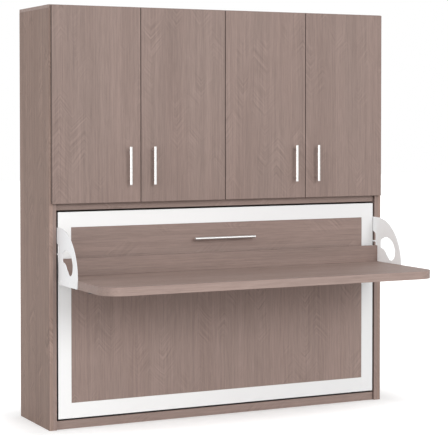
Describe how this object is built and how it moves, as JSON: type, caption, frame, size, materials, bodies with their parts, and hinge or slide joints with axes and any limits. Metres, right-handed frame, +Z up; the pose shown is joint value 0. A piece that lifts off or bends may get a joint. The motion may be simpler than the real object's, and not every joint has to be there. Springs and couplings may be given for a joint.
{
  "type": "wall bed with fold-down desk",
  "caption": "Wall bed that tilts down sideways, with a desk on its face that stays level and a cupboard with tall doors above.",
  "frame": {"origin": "on the floor, under the centre of the bounding box", "axes": "+X to the right seen from the front, +Y into the wall behind the cabinet, +Z up"},
  "size_m": [2.06, 1.133, 2.26],
  "materials": {
    "laminate": "satin grey-brown wood-grain laminate on board",
    "white_board": "satin white laminate on board",
    "white_steel": "satin white powder coat",
    "bright_steel": "brushed, bright",
    "zinc_steel": "zinc plated",
    "black_steel": "black paint",
    "birch": "clear lacquer on birch",
    "black_plastic": "matt black moulding",
    "clear_rubber": "soft translucent",
    "ticking": "woven off-white mattress cover",
    "webbing": "woven black webbing"
  },
  "bodies": {
    "cabinet": {"left_side_panel": "laminate", "right_side_panel": "laminate", "left_side_lining": "laminate", "right_side_lining": "laminate", "top_panel": "laminate", "cupboard_floor": "laminate", "cupboard_divider": "laminate", "shelves": "laminate", "shelf_pins": "zinc_steel", "back_panels": "laminate", "front_rail": "laminate", "toe_rail": "laminate", "wall_rails": "laminate", "rear_toe_rail": "laminate", "door_bumpers": "clear_rubber", "hinge_arms": "zinc_steel", "pivot_bases": "zinc_steel", "strut_anchors": "zinc_steel"},
    "bed": {"face_panel": "laminate", "face_frame_top": "white_board", "face_frame_bottom": "white_board", "face_frame_left": "white_board", "face_frame_right": "white_board", "face_handle": "bright_steel", "bed_channel_top": "white_steel", "bed_channel_bottom": "white_steel", "bed_channel_sides": "white_steel", "bed_cross_rails": "white_steel", "slats": "birch", "slat_holders": "black_plastic", "mattress": "ticking", "mattress_straps": "webbing", "mattress_stops": "white_steel", "tilt_plates": "white_steel", "desk_pivots": "zinc_steel"},
    "desk": {"desk_top": "laminate", "desk_upstand": "laminate", "left_desk_bracket": "white_steel", "right_desk_bracket": "white_steel", "bracket_screws": "white_steel", "rod_rivets": "zinc_steel", "desk_feet": "black_plastic"},
    "left_levelling_rod": {"left_levelling_rod": "white_steel"},
    "right_levelling_rod": {"right_levelling_rod": "white_steel"},
    "left_strut_barrel": {"left_strut_barrel": "black_steel"},
    "right_strut_barrel": {"right_strut_barrel": "black_steel"},
    "left_strut_rod": {"left_strut_rod": "zinc_steel"},
    "right_strut_rod": {"right_strut_rod": "zinc_steel"},
    "door_1": {"door_1": "laminate", "door_1_handle": "bright_steel", "door_1_hinge_cups": "zinc_steel"},
    "door_2": {"door_2": "laminate", "door_2_handle": "bright_steel", "door_2_hinge_cups": "zinc_steel"},
    "door_3": {"door_3": "laminate", "door_3_handle": "bright_steel", "door_3_hinge_cups": "zinc_steel"},
    "door_4": {"door_4": "laminate", "door_4_handle": "bright_steel", "door_4_hinge_cups": "zinc_steel"}
  },
  "joints": [
    {"name": "door_1_hinge", "type": "hinge", "parent": "cabinet", "child": "door_1", "pos_m": [-1.02, 0.0765, 1.7315], "axis": [0, 0, 1], "range_deg": [-110, 0]},
    {"name": "door_2_hinge", "type": "hinge", "parent": "cabinet", "child": "door_2", "pos_m": [-0.002, 0.0765, 1.7315], "axis": [0, 0, 1], "range_deg": [0, 80]},
    {"name": "door_3_hinge", "type": "hinge", "parent": "cabinet", "child": "door_3", "pos_m": [0.002, 0.0765, 1.7315], "axis": [0, 0, 1], "range_deg": [-80, 0]},
    {"name": "door_4_hinge", "type": "hinge", "parent": "cabinet", "child": "door_4", "pos_m": [1.02, 0.0765, 1.7315], "axis": [0, 0, 1], "range_deg": [0, 110]},
    {"name": "bed_tilt", "type": "hinge", "parent": "cabinet", "child": "bed", "pos_m": [0, 0.1585, 0.305], "axis": [1, 0, 0], "range_deg": [0, 90]},
    {"name": "desk_level", "type": "hinge", "parent": "bed", "child": "desk", "pos_m": [0, 0.1365, 1.036], "axis": [1, 0, 0], "range_deg": [-90, 0]},
    {"name": "left_levelling_rod_pivot", "type": "hinge", "parent": "cabinet", "child": "left_levelling_rod", "pos_m": [0, 0.1905, 0.337], "axis": [1, 0, 0], "range_deg": [0, 90]},
    {"name": "right_levelling_rod_pivot", "type": "hinge", "parent": "cabinet", "child": "right_levelling_rod", "pos_m": [0, 0.1905, 0.337], "axis": [1, 0, 0], "range_deg": [0, 90]},
    {"name": "left_strut_pivot", "type": "hinge", "parent": "cabinet", "child": "left_strut_barrel", "pos_m": [0, 0.4985, 0.9], "axis": [1, 0, 0], "range_deg": [0, 12.64]},
    {"name": "left_strut_slide", "type": "slide", "parent": "left_strut_barrel", "child": "left_strut_rod", "axis": [0, -0.408, -0.913], "range_m": [-0.25778, 0]},
    {"name": "right_strut_pivot", "type": "hinge", "parent": "cabinet", "child": "right_strut_barrel", "pos_m": [0, 0.4985, 0.9], "axis": [1, 0, 0], "range_deg": [0, 12.64]},
    {"name": "right_strut_slide", "type": "slide", "parent": "right_strut_barrel", "child": "right_strut_rod", "axis": [0, -0.408, -0.913], "range_m": [-0.25778, 0]}
  ],
  "couplings": [
    {"joint": "desk_level", "follows": "bed_tilt", "ratio": -1},
    {"joint": "left_levelling_rod_pivot", "follows": "bed_tilt", "ratio": 1},
    {"joint": "left_strut_pivot", "follows": "bed_tilt", "ratio": 0.14031},
    {"joint": "left_strut_slide", "follows": "bed_tilt", "m_per_rad": -0.16404},
    {"joint": "right_levelling_rod_pivot", "follows": "bed_tilt", "ratio": 1},
    {"joint": "right_strut_pivot", "follows": "bed_tilt", "ratio": 0.14031},
    {"joint": "right_strut_slide", "follows": "bed_tilt", "m_per_rad": -0.16404}
  ]
}
